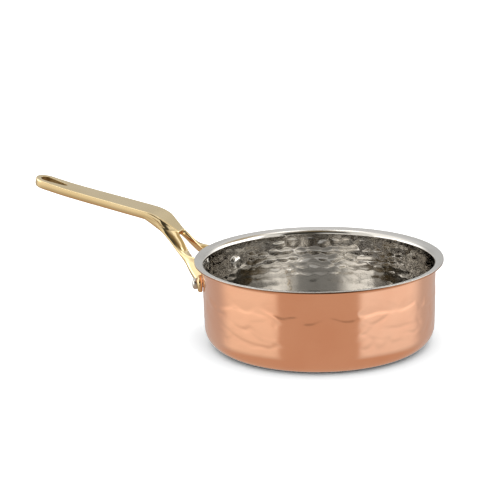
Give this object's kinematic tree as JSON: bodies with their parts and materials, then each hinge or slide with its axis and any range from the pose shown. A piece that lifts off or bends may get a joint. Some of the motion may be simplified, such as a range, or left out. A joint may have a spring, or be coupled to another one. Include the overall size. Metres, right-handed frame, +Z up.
{
  "type": "saucepan",
  "caption": "Shallow hammered copper saucepan with a steel liner, a flared pouring lip and a long forked brass handle riveted to the wall.",
  "frame": {"origin": "centre of the flat underside of the pan's base", "axes": "+Z up along the pan's axis, the handle points along -X, +Y to the left of a person who holds the handle"},
  "size_m": [0.2823, 0.16, 0.0967],
  "materials": {
    "copper": "hammered and polished bare copper",
    "liner_steel": "hammered and mirror-polished stainless steel, with a plain satin lip",
    "handle_brass": "cast and polished brass",
    "rivet_steel": "polished steel rivet"
  },
  "bodies": {
    "root": {"copper_shell": "copper", "steel_liner": "liner_steel", "handle": "handle_brass", "rivet_right": "rivet_steel", "rivet_left": "rivet_steel"}
  },
  "joints": []
}
